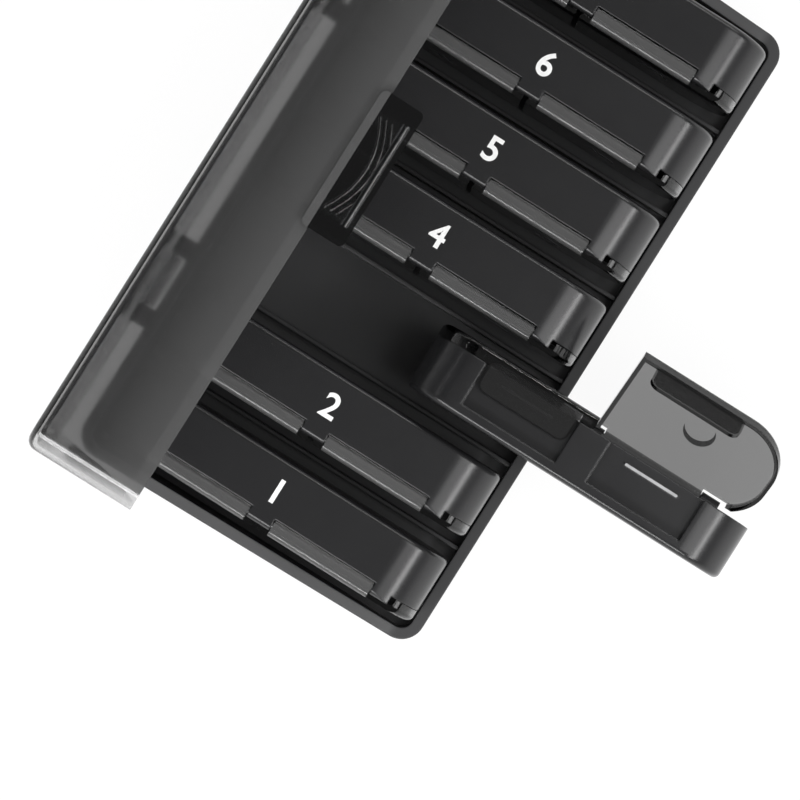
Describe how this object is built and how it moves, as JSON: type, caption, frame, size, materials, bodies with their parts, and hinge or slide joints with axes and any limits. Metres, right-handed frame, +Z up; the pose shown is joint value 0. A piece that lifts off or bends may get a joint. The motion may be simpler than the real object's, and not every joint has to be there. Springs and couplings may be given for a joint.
{
  "type": "weekly pill organizer",
  "caption": "Sloped tray of seven lift-out day boxes, each with two clear hinged flaps, under a deep smoky hinged cover.",
  "frame": {"origin": "middle of the tray's flat underside, on the table", "axes": "+X along a day box, from the cover hinge to the front wall; +Y along the row of day boxes; +Z up"},
  "size_m": [0.1858, 0.2106, 0.1573],
  "materials": {
    "tray_plastic": "satin",
    "box_plastic": "satin",
    "smoke_flap": "polished",
    "smoke_cover": "polished",
    "pin_steel": "plain"
  },
  "bodies": {
    "tray": {"tray": "tray_plastic", "hinge_pin_front": "pin_steel", "hinge_pin_rear": "pin_steel"},
    "cover": {"cover": "smoke_cover"},
    "day_1": {"day_1_box": "box_plastic"},
    "day_1_am": {"day_1_flap_am": "smoke_flap"},
    "day_1_pm": {"day_1_flap_pm": "smoke_flap"},
    "day_2": {"day_2_box": "box_plastic"},
    "day_2_am": {"day_2_flap_am": "smoke_flap"},
    "day_2_pm": {"day_2_flap_pm": "smoke_flap"},
    "day_3": {"day_3_box": "box_plastic"},
    "day_3_am": {"day_3_flap_am": "smoke_flap"},
    "day_3_pm": {"day_3_flap_pm": "smoke_flap"},
    "day_4": {"day_4_box": "box_plastic"},
    "day_4_am": {"day_4_flap_am": "smoke_flap"},
    "day_4_pm": {"day_4_flap_pm": "smoke_flap"},
    "day_5": {"day_5_box": "box_plastic"},
    "day_5_am": {"day_5_flap_am": "smoke_flap"},
    "day_5_pm": {"day_5_flap_pm": "smoke_flap"},
    "day_6": {"day_6_box": "box_plastic"},
    "day_6_am": {"day_6_flap_am": "smoke_flap"},
    "day_6_pm": {"day_6_flap_pm": "smoke_flap"},
    "day_7": {"day_7_box": "box_plastic"},
    "day_7_am": {"day_7_flap_am": "smoke_flap"},
    "day_7_pm": {"day_7_flap_pm": "smoke_flap"}
  },
  "joints": [
    {"name": "cover_hinge", "type": "hinge", "parent": "tray", "child": "cover", "pos_m": [-0.061, 0, 0.038], "axis": [0, -1, 0], "range_deg": [-62, 8]},
    {"name": "day_1_lift", "type": "slide", "parent": "tray", "child": "day_1", "axis": [0, 0, 1], "range_m": [0, 0.038]},
    {"name": "day_1_am_hinge", "type": "hinge", "parent": "day_1", "child": "day_1_am", "pos_m": [0, -0.09485, 0.0356], "axis": [-1, 0, 0], "range_deg": [0, 4.5]},
    {"name": "day_1_pm_hinge", "type": "hinge", "parent": "day_1", "child": "day_1_pm", "pos_m": [0, -0.09485, 0.0356], "axis": [-1, 0, 0], "range_deg": [0, 4.5]},
    {"name": "day_2_lift", "type": "slide", "parent": "tray", "child": "day_2", "axis": [0, 0, 1], "range_m": [0, 0.038]},
    {"name": "day_2_am_hinge", "type": "hinge", "parent": "day_2", "child": "day_2_am", "pos_m": [0, -0.06575, 0.0356], "axis": [-1, 0, 0], "range_deg": [0, 4.5]},
    {"name": "day_2_pm_hinge", "type": "hinge", "parent": "day_2", "child": "day_2_pm", "pos_m": [0, -0.06575, 0.0356], "axis": [-1, 0, 0], "range_deg": [0, 4.5]},
    {"name": "day_3_lift", "type": "slide", "parent": "tray", "child": "day_3", "axis": [0, 0, 1], "range_m": [0, 0.038]},
    {"name": "day_3_am_hinge", "type": "hinge", "parent": "day_3", "child": "day_3_am", "pos_m": [0.068, -0.02155, 0.012], "axis": [-1, 0, 0], "range_deg": [0, 4]},
    {"name": "day_3_pm_hinge", "type": "hinge", "parent": "day_3", "child": "day_3_pm", "pos_m": [0.068, -0.02155, 0.012], "axis": [-1, 0, 0], "range_deg": [-50, 35]},
    {"name": "day_4_lift", "type": "slide", "parent": "tray", "child": "day_4", "axis": [0, 0, 1], "range_m": [0, 0.038]},
    {"name": "day_4_am_hinge", "type": "hinge", "parent": "day_4", "child": "day_4_am", "pos_m": [0, -0.00755, 0.0356], "axis": [-1, 0, 0], "range_deg": [0, 4.5]},
    {"name": "day_4_pm_hinge", "type": "hinge", "parent": "day_4", "child": "day_4_pm", "pos_m": [0, -0.00755, 0.0356], "axis": [-1, 0, 0], "range_deg": [0, 4.5]},
    {"name": "day_5_lift", "type": "slide", "parent": "tray", "child": "day_5", "axis": [0, 0, 1], "range_m": [0, 0.038]},
    {"name": "day_5_am_hinge", "type": "hinge", "parent": "day_5", "child": "day_5_am", "pos_m": [0, 0.02155, 0.0356], "axis": [-1, 0, 0], "range_deg": [0, 4.5]},
    {"name": "day_5_pm_hinge", "type": "hinge", "parent": "day_5", "child": "day_5_pm", "pos_m": [0, 0.02155, 0.0356], "axis": [-1, 0, 0], "range_deg": [0, 4.5]},
    {"name": "day_6_lift", "type": "slide", "parent": "tray", "child": "day_6", "axis": [0, 0, 1], "range_m": [0, 0.038]},
    {"name": "day_6_am_hinge", "type": "hinge", "parent": "day_6", "child": "day_6_am", "pos_m": [0, 0.05065, 0.0356], "axis": [-1, 0, 0], "range_deg": [0, 4.5]},
    {"name": "day_6_pm_hinge", "type": "hinge", "parent": "day_6", "child": "day_6_pm", "pos_m": [0, 0.05065, 0.0356], "axis": [-1, 0, 0], "range_deg": [0, 4.5]},
    {"name": "day_7_lift", "type": "slide", "parent": "tray", "child": "day_7", "axis": [0, 0, 1], "range_m": [0, 0.038]},
    {"name": "day_7_am_hinge", "type": "hinge", "parent": "day_7", "child": "day_7_am", "pos_m": [0, 0.07975, 0.0356], "axis": [-1, 0, 0], "range_deg": [0, 4.5]},
    {"name": "day_7_pm_hinge", "type": "hinge", "parent": "day_7", "child": "day_7_pm", "pos_m": [0, 0.07975, 0.0356], "axis": [-1, 0, 0], "range_deg": [0, 4.5]}
  ]
}
